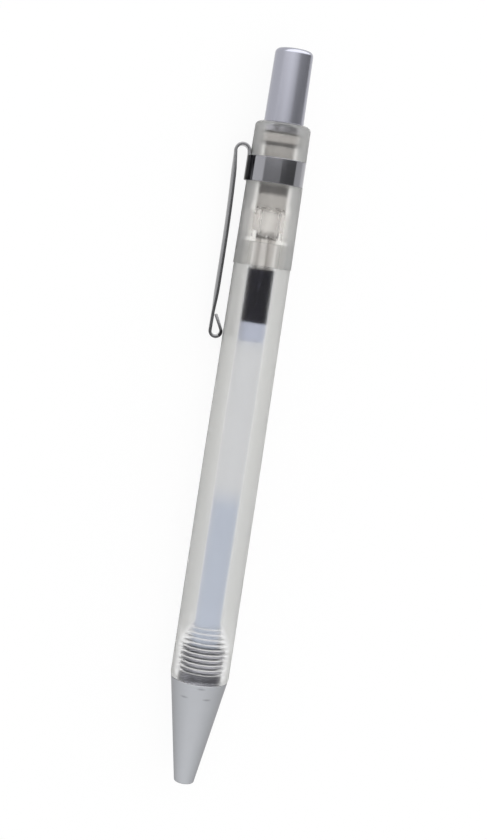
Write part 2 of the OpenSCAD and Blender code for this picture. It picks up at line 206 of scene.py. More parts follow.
PEN = PenFrame.read()


def position(tree: NodeTree) -> NodeSocket:
    """Give a point's place in the shared frame in metres."""
    return add_node(tree, "TexCoord").outputs["Object"]


def station(tree: NodeTree, first: float, last: float, high: float = 1.0) -> NodeSocket:
    """Measure along the pen: 0 before the first station, and a full value past the last one.

    Args:
        tree: The material's node tree.
        first: The first station in mm.
        last: The last station in mm.
        high: The full value.

    Returns:
        The value's socket.
    """
    parts = add_node(tree, "SeparateXYZ", links={0: position(tree)})
    return add_node(tree, "MapRange",
                    {"From Min": PEN.place(first).x, "From Max": PEN.place(last).x, "To Max": high},
                    {"Value": parts}).outputs[0]


def axis_distance(tree: NodeTree) -> NodeSocket:
    """Measure the distance from the pen's axis in metres."""
    axis = PEN.place(0.0)
    centred = add_node(tree, "Mapping", {"Location": (0.0, -axis.y, -axis.z), "Scale": (0.0, 1.0, 1.0)},
                       {"Vector": position(tree)})
    length = add_node(tree, "VectorMath", {"operation": "LENGTH"}, {0: centred})
    return length.outputs["Value"]


def pattern(tree: NodeTree, size_mm: float, detail: float = 2.0,
            stretch: Triple = (1.0, 1.0, 1.0)) -> NodeSocket:
    """Make a fine irregular pattern of a real size.

    Args:
        tree: The material's node tree.
        size_mm: The size of its grains in mm.
        detail: How many finer layers it has.
        stretch: Scale along each axis; a small one draws the grains out into lines.

    Returns:
        The pattern's socket.
    """
    place = add_node(tree, "Mapping", {"Scale": stretch}, {"Vector": position(tree)})
    return add_node(tree, "TexNoise", {"Scale": 1.0 / (size_mm * MM), "Detail": detail},
                    {"Vector": place}).outputs[0]


def fill_ramp(ramp: Node, stops: Sequence[tuple[float, Colour]]) -> None:
    """Give a new colour ramp its stops: places from 0 to 1 with their colours."""
    elements = ramp.color_ramp.elements
    elements.remove(elements[1])
    for index, (at, colour) in enumerate(stops):
        stop = elements.new(at) if index else elements[0]
        stop.position, stop.color = at, colour


@dataclass(frozen=True)
class Corner:
    """Corner of a half section: station, radius and the length that its fillet takes from each side."""

    s: float
    r: float
    fillet: float = 0.0


def put_in_scene(name: str, data: bpy.types.ID) -> Object:
    """Make an object of a mesh, camera or light, and link it to the scene."""
    thing = bpy.data.objects.new(name, data)
    bpy.context.scene.collection.objects.link(thing)
    return thing


def piece_from(name: str, bm: BMesh, materials: Sequence[Material]) -> Object:
    """Turn a bmesh drawn in the pen's millimetres into a placed, smooth-shaded piece.

    Args:
        name: The piece's name.
        bm: The mesh, which is freed.
        materials: The materials in the order of the faces' indices.

    Returns:
        The new object, at the origin with its place in its mesh.
    """
    bmesh.ops.remove_doubles(bm, verts=bm.verts[:], dist=MERGE_GAP)
    bmesh.ops.recalc_face_normals(bm, faces=bm.faces[:])
    bmesh.ops.transform(bm, matrix=PEN.matrix(), verts=bm.verts[:])
    mesh = bpy.data.meshes.new(name)
    bm.to_mesh(mesh)
    bm.free()
    mesh.shade_smooth()
    mesh.set_sharp_from_angle(angle=SHARP_ANGLE)
    for material in materials:
        mesh.materials.append(material)
    return put_in_scene(name, mesh)


def apply_modifiers(piece: Object) -> None:
    """Replace a piece's mesh by what its modifiers make of it."""
    bpy.context.view_layer.update()
    graph = bpy.context.evaluated_depsgraph_get()
    mesh = bpy.data.meshes.new_from_object(piece.evaluated_get(graph))
    piece.modifiers.clear()
    piece.data = mesh


def flatten_shading(piece: Object) -> None:
    """Weight a piece's normals by face area, so that long walls keep straight reflections beside fillets."""
    weights = piece.modifiers.new("weighted normals", "WEIGHTED_NORMAL")
    weights.keep_sharp = True
    weights.weight = FLAT_WEIGHT
    apply_modifiers(piece)


def turned(corners: Sequence[Corner], ring: bool = True, steps: int = ROUND_STEPS,
           wall_of: Callable[[float, float], Wall] | None = None) -> BMesh:
    """Turn a half section round the pen's axis.

    Args:
        corners: The corners of the half section in order.
        ring: True if the section is a closed loop, False if it starts and ends on the axis.
        steps: Faces round the axis.
        wall_of: Gives a face's material index from its station and radius.

    Returns:
        The turned mesh in the pen's millimetres.
    """
    bm = bmesh.new()
    verts = [bm.verts.new((c.s, c.r, 0.0)) for c in corners]
    for a, b in zip(verts, verts[1:]):
        bm.edges.new((a, b))
    if ring:
        bm.edges.new((verts[-1], verts[0]))
    for vert, corner in zip(verts, corners):
        if corner.fillet:
            bmesh.ops.bevel(bm, geom=[vert], offset=corner.fillet, offset_type="OFFSET", affect="VERTICES",
                            segments=FILLET_STEPS, profile=0.5, material=-1)
    bmesh.ops.spin(bm, geom=bm.verts[:] + bm.edges[:], cent=(0, 0, 0), axis=(1, 0, 0), angle=math.tau,
                   steps=steps, use_merge=True, use_duplicate=False)
    bmesh.ops.remove_doubles(bm, verts=bm.verts[:], dist=MERGE_GAP)
    if wall_of:
        for face in bm.faces:
            middle = face.calc_center_median()
            face.material_index = int(wall_of(middle.x, math.hypot(middle.y, middle.z)))
    return bm


def dress(node: str, material: Material) -> None:
    """Give a node of the frame its finish."""
    piece = frame["nodes"][node]
    if piece.material_slots:
        piece.material_slots[0].material = material
    else:
        piece.data.materials.append(material)
    log.info("dressed %s", node)


def settle(piece: Object, body: Body, slot: str, *nodes: str) -> None:
    """Let a new piece ride on its body and stand for its nodes.

    Args:
        piece: The new piece.
        body: The body that it moves with.
        slot: The record's material slot; not used.
        nodes: The nodes that it replaces.
    """
    flatten_shading(piece)
    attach(piece, body.value)
    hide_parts(*nodes)
    log.info("made %s for %s: %d faces", piece.name, ", ".join(nodes), len(piece.data.polygons))


@dataclass(frozen=True)
class SatinSilver:
    """Drawn aluminium under a satin silver lacquer: long soft reflections, faint marks round the shell."""

    colour: str = "#a3a4ae"
    roughness: float = 0.26
    unevenness: float = 0.02
    draw_mark_mm: float = 0.35
    round_the_shell: Triple = (1.0, 0.05, 0.05)

    def material(self) -> Material:
        """Make the material."""
        material, tree = new_material("satin_lacquered_aluminium")
        marks = pattern(tree, self.draw_mark_mm, 3.0, self.round_the_shell)
        rough = add_node(tree, "MapRange",
                         {"To Min": self.roughness - self.unevenness,
                          "To Max": self.roughness + self.unevenness}, {"Value": marks})
        return finish_with(material, "BsdfPrincipled", {"Base Color": self.colour, "Metallic": 1.0},
                           {"Roughness": rough})


@dataclass(frozen=True)
class BlastedAluminium:
    """Turned aluminium, bead blasted and clear anodised: an even, dull silver with fine grain and rubs."""

    colour: str = "#bbbdc1"
    side_shade_colour: str = "#9c9da0"
    side_from: float = 0.12
    side_to: float = 0.7
    roughness: float = 0.6
    unevenness: float = 0.05
    cloud_mm: float = 3.0
    grain_mm: float = 0.09              # coarser than the beads' real marks, so that it shows
    grain_relief: float = 0.25
    depth_mm: float = 0.02
    rub_colour: str = "#8a8b8e"
    rubs: tuple[Pair, ...] = ((17.0, 2.49), (17.0, -1.77), (19.0, -0.45))
    rub_half_mm: Pair = (0.22, 0.85)
    rub_from: float = 0.3
    rub_to: float = 1.2
    rub_share: float = 0.6
    tip_r: float = 1.78
    taper: float = 0.183

    def material(self) -> Material:
        """Make the material."""
        material, tree = new_material("bead_blasted_aluminium")
        cloud = pattern(tree, self.cloud_mm)
        rough = add_node(tree, "MapRange",
                         {"To Min": self.roughness - self.unevenness,
                          "To Max": self.roughness + self.unevenness}, {"Value": cloud})
        bump = add_node(tree, "Bump", {"Strength": self.grain_relief, "Distance": self.depth_mm * MM},
                        {"Height": pattern(tree, self.grain_mm)})
        return finish_with(material, "BsdfPrincipled", {"Metallic": 1.0},
                           {"Base Color": self.side_shade_and_rubs(tree), "Roughness": rough, "Normal": bump})

    def side_shade_and_rubs(self, tree: NodeTree) -> NodeSocket:
        """Give the metal's colour, painted darker on its sides as shade, and with a few small rubs."""
        # Painted shade: the colour darkens towards the edges as they turn from the eye.
        facing = add_node(tree, "LayerWeight").outputs["Facing"]
        side = add_node(tree, "MapRange", {"From Min": self.side_from, "From Max": self.side_to},
                        {"Value": facing})
        colour = add_node(tree, "Mix", {"data_type": "RGBA", 6: self.colour, 7: self.side_shade_colour},
                          {0: side}).outputs[2]
        half_s, half_x = self.rub_half_mm
        for s, x in self.rubs:
            place = PEN.place(s, x, math.sqrt((self.tip_r + self.taper * s) ** 2 - x * x))
            away = add_node(tree, "VectorMath", {"operation": "SUBTRACT", 1: tuple(place)},
                            {0: position(tree)})
            away = add_node(tree, "VectorMath",
                            {"operation": "MULTIPLY",
                             1: (1.0 / (half_s * MM),) + (1.0 / (half_x * MM),) * 2}, {0: away})
            away = add_node(tree, "VectorMath", {"operation": "LENGTH"}, {0: away})
            share = add_node(tree, "MapRange",
                             {"From Min": self.rub_from, "From Max": self.rub_to, "To Min": self.rub_share,
                              "To Max": 0.0}, {"Value": away.outputs["Value"]})
            colour = add_node(tree, "Mix", {"data_type": "RGBA", 7: self.rub_colour},
                              {0: share, 6: colour}).outputs[2]
        return colour


@dataclass(frozen=True)
class TurnedMetal:
    """Bare turned metal with tool marks round it: its set colour is dark as painted shade for the nose's
    neck and thread, and its edges are painted darker still as shade.
    """

    name: str = "turned_aluminium_painted_shade"
    colour: str = "#828288"
    side_shade_colour: str = "#4c4c4e"
    side_from: float = 0.25
    side_to: float = 0.75
    roughness: float = 0.45
    tool_mark_mm: float = 0.08
    tool_relief: float = 0.15
    depth_mm: float = 0.02
    round_the_piece: Triple = (1.0, 0.03, 0.03)

    def material(self) -> Material:
        """Make the material."""
        material, tree = new_material(self.name)
        marks = pattern(tree, self.tool_mark_mm, stretch=self.round_the_piece)
        bump = add_node(tree, "Bump", {"Strength": self.tool_relief, "Distance": self.depth_mm * MM},
                        {"Height": marks})
        # Painted shade: the colour darkens towards the edges as they turn from the eye.
        facing = add_node(tree, "LayerWeight").outputs["Facing"]
        side = add_node(tree, "MapRange", {"From Min": self.side_from, "From Max": self.side_to},
                        {"Value": facing})
        colour = add_node(tree, "Mix", {"data_type": "RGBA", 6: self.colour, 7: self.side_shade_colour}, {0: side})
        return finish_with(material, "BsdfPrincipled", {"Metallic": 1.0, "Roughness": self.roughness},
                           {"Base Color": colour.outputs[2], "Normal": bump})


@dataclass(frozen=True)
class RolledSteel:
    """Stainless spring strip, rolled bright: dark, clear reflections, with rolling lines along the strip."""

    name: str = "rolled_stainless_steel"
    colour: str = "#9b9ba0"
    roughness: float = 0.2
    unevenness: Pair = (0.8, 1.3)
    line_mm: float = 0.12               # coarser than real rolling lines, so that they show
    relief: float = 0.1
    depth_mm: float = 0.02
    along_the_strip: Triple = (0.03, 1.0, 1.0)

    def material(self) -> Material:
        """Make the material."""
        material, tree = new_material(self.name)
        lines = pattern(tree, self.line_mm, 3.0, self.along_the_strip)
        low, high = self.unevenness
        rough = add_node(tree, "MapRange", {"To Min": self.roughness * low, "To Max": self.roughness * high},
                         {"Value": lines})
        bump = add_node(tree, "Bump", {"Strength": self.relief, "Distance": self.depth_mm * MM},
                        {"Height": lines})
        return finish_with(material, "BsdfPrincipled", {"Base Color": self.colour, "Metallic": 1.0},
                           {"Roughness": rough, "Normal": bump})


@dataclass(frozen=True)
class FrostedStyrene:
    """Clear polystyrene moulded in a textured tool: it hazes over towards its edges, where its grey haze
    colour is painted shade, and its bore is glossy.

    The foot is the stretch over the thread, where the frosting is finer; its values shift the others there.
    """

    name: str = "frosted_polystyrene"
    colour: str = "#fdfdfd"
    haze_shade_colour: str = "#d2d2d0"
    roughness: float = 0.46
    foot_roughness: float = 0.28
    edge_roughness: float = 0.6
    bore_roughness: float = 0.06
    ior: float = 1.24                   # lower than the real 1.59, so that the inside stays bright
    most_haze: float = 0.45
    haze_from: float = 0.1
    haze_to: float = 0.15
    least_turn: float = 0.0
    foot_shift: float = 0.09
    foot_spread: float = 0.47
    foot_s: Pair = (31.5, 26.5)
    crest_s: Pair = (32.5, 30.5)
    crest_highlight_haze: float = 0.95
    crest_r: Pair = (3.97, 4.04)
    spigot_at: float = 98.3
    spigot_edge: float = 0.1
    spigot_step: float = 0.5
    skin_r: Pair = (4.9, 5.0)
    frost_mm: float = 0.12              # the real frosting is finer; drawn this coarse to show
    frost_relief: float = 0.08
    depth_mm: float = 0.01

    def material(self) -> Material:
        """Make the material: frosted outside, smooth in the bore, and hazed white on the tops of its ribs
        and threads, partly haze and partly painted highlight.
        """
        material, tree = new_material(self.name)
        foot = station(tree, *self.foot_s)
        skin = self.skin(tree)
        turn = self.turn(tree, foot, skin)
        frosting = add_node(tree, "MapRange", {"To Min": self.roughness, "To Max": self.foot_roughness},
                            {"Value": foot})
        face = add_node(tree, "Mix", {"data_type": "FLOAT", 2: self.bore_roughness}, {0: skin, 3: frosting})
        rough = add_node(tree, "Mix", {"data_type": "FLOAT", 3: self.edge_roughness}, {0: turn, 2: face})
        haze = add_node(tree, "Math", {"operation": "MULTIPLY_ADD", 1: self.most_haze},
                        {0: turn, 2: self.crests(tree)})
        clear = add_node(tree, "Math", {"operation": "SUBTRACT", 0: 1.0}, {1: haze})
        # The haze colour is grey: painted shade where the skin turns from the eye.
        colour = add_node(tree, "Mix", {"data_type": "RGBA", 6: self.colour, 7: self.haze_shade_colour}, {0: turn})
        bump = add_node(tree, "Bump", {"Strength": self.frost_relief, "Distance": self.depth_mm * MM},
                        {"Height": pattern(tree, self.frost_mm)})
        return finish_with(material, "BsdfPrincipled", {"IOR": self.ior},
                           {"Base Color": colour.outputs[2], "Transmission Weight": clear,
                            "Roughness": rough, "Normal": bump})

    def skin(self, tree: NodeTree) -> NodeSocket:
        """Give 1 on the frosted outside, the joint's spigot with it, and 0 in the bore."""
        spigot = station(tree, self.spigot_at, self.spigot_at + self.spigot_edge, self.spigot_step * MM)
        radius = add_node(tree, "Math", {"operation": "ADD"}, {0: axis_distance(tree), 1: spigot})
        first, last = self.skin_r
        return add_node(tree, "MapRange", {"From Min": first * MM, "From Max": last * MM},
                        {"Value": radius}).outputs[0]

    def crests(self, tree: NodeTree) -> NodeSocket:
        """Give the share of haze on the tops of the inside ribs and threads, which whitens them: partly
        haze, partly painted highlight.
        """
        first, last = self.crest_r
        crest = add_node(tree, "MapRange",
                         {"From Min": first * MM, "From Max": last * MM, "To Min": self.crest_highlight_haze,
                          "To Max": 0.0}, {"Value": axis_distance(tree)})
        return add_node(tree, "Math", {"operation": "MULTIPLY"},
                        {0: crest, 1: station(tree, *self.crest_s)}).outputs[0]

    def turn(self, tree: NodeTree, foot: NodeSocket, skin: NodeSocket) -> NodeSocket:
        """Give how far the skin turns away from the eye, which is where it hazes over.

        Args:
            tree: The material's node tree.
            foot: Share of the foot.
            skin: Share of the skin.

        Returns:
            The turn's socket, 0 to 1.
        """
        facing = add_node(tree, "LayerWeight").outputs["Facing"]
        shift = add_node(tree, "Math", {"operation": "MULTIPLY", 1: self.foot_shift}, {0: foot})
        nearer = add_node(tree, "Math", {"operation": "SUBTRACT"}, {0: facing, 1: shift})
        reach = add_node(tree, "Math", {"operation": "MULTIPLY_ADD", 1: self.foot_spread, 2: self.haze_to},
                         {0: foot})
        turn = add_node(tree, "MapRange",
                        {"interpolation_type": "SMOOTHSTEP", "From Min": self.haze_from,
                         "To Min": self.least_turn}, {"Value": nearer, "From Max": reach})
        return add_node(tree, "Math", {"operation": "MULTIPLY"}, {0: turn, 1: skin}).outputs[0]


@dataclass(frozen=True)
class MouldedPlastic:
    """Injection moulded plastic with a soft gloss and a slightly uneven skin."""

    name: str
    colour: str
    roughness: float = 0.42
    unevenness: float = 0.06
    subsurface: float = 0.0
    light_path: Triple = (1.0, 0.9, 0.8)    # how far red, green and blue light go in, in mm
    ior: float = 1.48
    skin_mm: float = 0.4
    skin_relief: float = 0.1
    depth_mm: float = 0.03
    rings: Rings = ()
    core_shade_colour: str = ""
    core_r: Pair = (0.9, 1.7)

    def material(self) -> Material:
        """Make the material."""
        material, tree = new_material(self.name)
        skin = pattern(tree, self.skin_mm)
        bump = add_node(tree, "Bump", {"Strength": self.skin_relief, "Distance": self.depth_mm * MM},
                        {"Height": skin})
        rough = add_node(tree, "MapRange",
                         {"To Min": self.roughness - self.unevenness,
                          "To Max": self.roughness + self.unevenness}, {"Value": skin})
        return finish_with(material, "BsdfPrincipled",
                           {"IOR": self.ior, "Subsurface Weight": self.subsurface, "Subsurface Scale": MM,
                            "Subsurface Radius": self.light_path},
                           {"Base Color": self.with_painted_shade(tree), "Roughness": rough, "Normal": bump})

    def with_painted_shade(self, tree: NodeTree) -> NodeSocket:
        """Give the plastic's colour with a darker core and dark rings, both painted shade."""
        first, last = self.core_r
        depth = add_node(tree, "MapRange", {"From Min": first * MM, "From Max": last * MM},
                         {"Value": axis_distance(tree)})
        colour = add_node(tree, "Mix",
                          {"data_type": "RGBA", 6: self.core_shade_colour or self.colour, 7: self.colour},
                          {0: depth}).outputs[2]
        parts = add_node(tree, "SeparateXYZ", links={0: position(tree)})
        # Each ring darkens the colour round its station: painted shade.
        for middle, half, code in self.rings:
            away = add_node(tree, "Math", {"operation": "SUBTRACT", 1: PEN.place(middle).x}, {0: parts})
            away = add_node(tree, "Math", {"operation": "ABSOLUTE"}, {0: away})
            share = add_node(tree, "MapRange",
                             {"interpolation_type": "SMOOTHSTEP", "From Min": half * MM / 2,
                              "From Max": half * MM * 3 / 2, "To Min": 1.0, "To Max": 0.0}, {"Value": away})
            colour = add_node(tree, "Mix", {"data_type": "RGBA", 7: code}, {0: share, 6: colour}).outputs[2]
        return colour


@dataclass(frozen=True)
class ExtrudedTube:
    """Extruded polypropylene tube: clear with a cool tint, hazed over at its edges where its grey colour is
    painted shade, fine lines along it.
    """

    colour: str = "#feffff"
    edge_shade_colour: str = "#c6c6c8"
    edge_clear: float = 0.3
    edge_from: float = 0.4
    edge_to: float = 0.58
    roughness: float = 0.12
    ior: float = 1.1                    # lower than the real 1.49, so that the ink's own colour shows
    line_mm: float = 0.15
    line_relief: float = 0.08
    depth_mm: float = 0.01
    along_the_tube: Triple = (0.02, 1.0, 1.0)

    def material(self) -> Material:
        """Make the material."""
        material, tree = new_material("extruded_polypropylene")
        lines = pattern(tree, self.line_mm, stretch=self.along_the_tube)
        bump = add_node(tree, "Bump", {"Strength": self.line_relief, "Distance": self.depth_mm * MM},
                        {"Height": lines})
        # The tube hazes over at its edges, and its grey colour there is painted shade.
        facing = add_node(tree, "LayerWeight").outputs["Facing"]
        clear = add_node(tree, "MapRange",
                         {"From Min": self.edge_from, "From Max": self.edge_to, "To Min": 1.0,
                          "To Max": self.edge_clear}, {"Value": facing})
        colour = add_node(tree, "Mix", {"data_type": "RGBA", 6: self.edge_shade_colour, 7: self.colour},
                          {0: clear})
        return finish_with(material, "BsdfPrincipled", {"Roughness": self.roughness, "IOR": self.ior},
                           {"Base Color": colour.outputs[2], "Transmission Weight": clear, "Normal": bump})


@dataclass(frozen=True)
class PaleInk:
    """Pale ink behind a film on the tube: blue-grey, and whitish along one stretch of it."""

    full: str = "#e2e9f8"
    white_stretch: str = "#fdfdff"
    white_stretch_from: float = 54.5
    white_stretch_to: float = 84.5
    fade: float = 2.0
    roughness: float = 0.3
    ior: float = 1.4

    def material(self) -> Material:
        """Make the material, with its colour along the pen."""
        material, tree = new_material("pale_gel_ink")
        first, last = self.white_stretch_from - 2 * self.fade, self.white_stretch_to + 2 * self.fade
        ramp = add_node(tree, "ValToRGB", links={0: station(tree, first, last)})
        fill_ramp(ramp, [((s - first) / (last - first), linear(colour)) for s, colour in (
            (self.white_stretch_from - self.fade, self.full), (self.white_stretch_from + self.fade, self.white_stretch),
            (self.white_stretch_to - self.fade, self.white_stretch), (self.white_stretch_to + self.fade, self.full))])
        return finish_with(material, "BsdfPrincipled", {"Roughness": self.roughness, "IOR": self.ior},
                           {"Base Color": ramp})


@dataclass
class BarrelParts:
    """The two frosted mouldings of the barrel, with the steel band in its seat."""

    joint_at: float = 98.3
    foot_at: float = 19.7
    foot_r: float = 5.38
    lead_len: float = 0.8
    grip_len: float = 38.0
    grip_r: float = 5.52
    waist_r: float = 5.38
    bore_r: float = 4.05
    spigot_r: float = 4.66
    spigot_len: float = 4.4
    thread_at: float = 21.3
    thread_pitch: float = 0.96
    thread_depth: float = 0.3
    female_r: float = 4.23
    ridges: int = 10
    band_foot: float = 113.9
    band_top: float = 118.7
    band_r: float = 5.361
    band_t: float = 0.3
    press_gap: float = 0.02
    thread_root_round: float = 0.03
    thread_crest_round: float = 0.08
    foot_round: float = 0.12
    grip_round: float = 0.3
    step_round: float = 0.1
    seat_round: float = 0.05
    spigot_round: float = 0.2
    band_round: float = 0.09

    def build_lower(self) -> BMesh:
        """Turn the lower barrel with its inside thread and its joint spigot."""
        thread_top = self.thread_at + self.ridges * self.thread_pitch
        root_r = self.female_r - self.thread_depth
        ridges = []
        for i in range(self.ridges):
            at = self.thread_at + i * self.thread_pitch
            ridges += [Corner(at, root_r, self.thread_root_round),
                       Corner(at + self.thread_pitch / 2, self.female_r, self.thread_crest_round)]
        end = self.joint_at + self.spigot_len
        shoulder = self.joint_at - self.press_gap
        grip_at = self.foot_at + self.lead_len
        last_ridge = thread_top + self.thread_pitch / 2
        half_depth_r = root_r + self.thread_depth / 2
        corners = [Corner(self.foot_at, self.female_r), Corner(self.foot_at, self.foot_r, self.foot_round),
                   Corner(grip_at, self.grip_r, self.grip_round),
                   Corner(grip_at + self.grip_len, self.grip_r, self.grip_round),
                   Corner(shoulder, self.waist_r, self.step_round),
                   Corner(shoulder, self.spigot_r, self.seat_round),
                   Corner(end, self.spigot_r, self.spigot_round), Corner(end, self.bore_r, self.step_round),
                   Corner(last_ridge, self.bore_r), Corner(last_ridge, half_depth_r),
                   Corner(thread_top, half_depth_r)]
        corners += list(reversed(ridges)) + [Corner(self.thread_at, self.female_r)]
        return turned(corners)

    def build_band(self) -> BMesh:
        """Turn the band, a rolled strip whose ends meet under the clip."""
        foot, top = self.band_foot + self.press_gap, self.band_top - self.press_gap
        inner = self.band_r - self.band_t + self.press_gap
        return turned([Corner(foot, inner), Corner(foot, self.band_r, self.band_round),
                       Corner(top, self.band_r, self.band_round), Corner(top, inner)])

    def build(self) -> None:
        """Make and dress the barrel's pieces."""
        # The upper moulding has a finer texture and a greyer haze colour towards its edges, which is painted
        # shade, and the lands inside it show through.
        upper = FrostedStyrene(name="frosted_polystyrene_upper", colour="#fdfcfa", haze_shade_colour="#b2b2b1",
                               roughness=0.3, foot_roughness=0.17, haze_to=0.29, least_turn=0.14,
                               foot_shift=0.0, foot_spread=0.11, foot_s=(110.5, 108.5),
                               crest_s=(113.0, 110.0), crest_highlight_haze=0.3, spigot_at=140.0)
        dress("upper_barrel", upper.material())
        lower = piece_from("lower_barrel_moulding", self.build_lower(), [FrostedStyrene().material()])
        settle(lower, Body.BARREL, "frosted_barrel", "lower_barrel")
        # The band is rolled brighter than the clip: clear, sharp reflections round it.
        steel = RolledSteel(name="rolled_steel_band", roughness=0.08, relief=0.02,
                            along_the_strip=(1.0, 0.05, 0.05))
        band = piece_from("barrel_band", self.build_band(), [steel.material()])
        settle(band, Body.BARREL, "clip_steel", "clip_band")


@dataclass
class PocketClip:
    """Pocket clip: one bent strip of spring steel from the band over its arch to the loop at its end."""

    thickness: float = 0.56
    width: float = 3.6
    end_width: float = 3.0
    root_x: float = 5.631
    root_foot: float = 113.95
    root_margin: float = 1.0
    band_top: float = 118.7
    arch_at: float = 119.3
    arch_x: float = 6.92559
    arm_x: float = 8.22
    waist_x: float = 7.74
    arm_end_x: float = 7.9
    loop_at: float = 84.99
    loop_x: float = 6.86
    loop_turn: float = 198.0
    loop_turn_len: float = 3.5
    clip_end: float = 83.7
    tail_at: float = 88.11
    tail_x: float = 7.255
    leg_steps: int = 7
    arch_steps: int = 16
    arm_steps: int = 28
    loop_steps: int = 18
    width_steps: int = 8
    edge_round: float = 0.09
    edge_steps: int = 3
    edge_angle: float = 50.0
    hinge_at: float = 120.6
    hinge_x: float = 6.45
    bend: Pair = (-0.054, 0.9)
    crown_out: float = 0.15
    crown_in: float = 0.44
    dark_root_r: float = 6.2
    crown_fade: float = 4.0

    def path(self, bm: BMesh) -> None:
        """Draw the strip's middle line in side view, at one edge of its width."""
        low = -self.width / 2
        start = bm.verts.new((self.root_foot, self.root_x, low))
        foot = bm.verts.new((self.arch_at, self.root_x, low))
        leg = bm.edges.new((start, foot))
        arch = bmesh.ops.spin(bm, geom=[foot], cent=(self.arch_at, self.arch_x, low), axis=(0, 0, 1),
                              angle=math.pi, steps=self.arch_steps)
        head = [v for v in arch["geom_last"] if isinstance(v, BMVert)][0]
        elbow = bm.verts.new((self.loop_at, self.arm_end_x, low))
        arm = bm.edges.new((head, elbow))
        loop = bmesh.ops.spin(bm, geom=[elbow], cent=(self.loop_at, self.loop_x, low), axis=(0, 0, 1),
                              angle=math.radians(self.loop_turn), steps=self.loop_steps)
        end = [v for v in loop["geom_last"] if isinstance(v, BMVert)][0]
        tail = bm.verts.new((self.tail_at, self.tail_x, low))
        bm.edges.new((end, tail))
        bmesh.ops.subdivide_edges(bm, edges=[leg], cuts=self.leg_steps)
        cut = bmesh.ops.subdivide_edges(bm, edges=[arm], cuts=self.arm_steps)
        for vert in cut["geom_inner"]:
            if isinstance(vert, BMVert):
                vert.co.y = self.arm_place(vert.co.x)

    def arm_place(self, s: float) -> float:
        """Distance of the bowed arm's middle line from the pen's axis at a station."""
        waist_at = (self.arch_at + self.loop_at) / 2
        end_x = self.arm_x if s > waist_at else self.arm_end_x
        return self.waist_x + (end_x - self.waist_x) * ((s - waist_at) / (self.arch_at - waist_at)) ** 2

    def shape(self, bm: BMesh) -> None:
        """Narrow the arm towards its loop and wrap the root round the band."""
        for vert in bm.verts:
            s, x, y = vert.co
            if x > self.arch_x or s < self.root_foot - self.root_margin:
                share = min(1.0, (s - self.clip_end) / (self.arch_at - self.clip_end))
                vert.co.z = y * (self.end_width + (self.width - self.end_width) * share) / self.width
                if x > self.arch_x:
                    bow = self.crown_out - self.crown_in * (2 * y / self.width) ** 2
                    vert.co.y = x + self.crown(s) * bow
            elif s < self.arch_at:
                wrap = min(1.0, (self.arch_at - s) / (self.arch_at - self.band_top + self.thickness))
                vert.co.y = x + wrap * (math.sqrt(self.root_x ** 2 - y ** 2) - self.root_x)

    def crown(self, s: float) -> float:
        """Share of the arm's crown across its width at a station: none at the arch and at the loop."""
        ends = min(s - self.loop_at - self.loop_turn_len, self.arch_at - s)
        return max(0.0, min(1.0, ends / self.crown_fade))

    def build(self) -> None:
        """Make the strip and thicken it."""
        bm = bmesh.new()
        self.path(bm)
        row = bm.edges[:]
        step = self.width / self.width_steps
        for _ in range(self.width_steps):
            made = bmesh.ops.extrude_edge_only(bm, edges=row)["geom"]
            row = [e for e in made if isinstance(e, BMEdge)]
            verts = [v for v in made if isinstance(v, BMVert)]
            bmesh.ops.translate(bm, verts=verts, vec=(0.0, 0.0, step))
        self.shape(bm)
        # Faces of the root along the band take the dark material: a painted dark reflection.
        for face in bm.faces:
            middle = face.calc_center_median()
            face.material_index = int(middle.x < self.band_top and middle.y < self.dark_root_r)
        # The strip is a duller grade than the band; its root along the band is painted dark as a painted
        # reflection.
        steel = RolledSteel(name="spring_strip_steel", colour="#88888a", roughness=0.25)
        painted_dark_root = RolledSteel(name="spring_steel_painted_dark_reflection", colour="#3c3c3e", roughness=0.3)
        clip = piece_from("pocket_clip", bm, [steel.material(), painted_dark_root.material()])
        wall = clip.modifiers.new("thickness", "SOLIDIFY")
        wall.thickness, wall.offset, wall.use_even_offset = self.thickness * MM, 0.0, True
        edge = clip.modifiers.new("rolled edge", "BEVEL")
        edge.width, edge.segments, edge.limit_method = self.edge_round * MM, self.edge_steps, "ANGLE"
        edge.angle_limit = math.radians(self.edge_angle)
        apply_modifiers(clip)
        clip.data.shade_smooth()
        clip.data.set_sharp_from_angle(angle=SHARP_ANGLE)
        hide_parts("clip_root", "clip_arm")
        down, out = self.bend
        tuple(PEN.place(self.hinge_at, self.hinge_x))
        tuple(PEN.place(self.hinge_at + down, self.hinge_x + out))
        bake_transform(clip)
        log.info("made %s: %d faces", clip.name, len(clip.data.polygons))


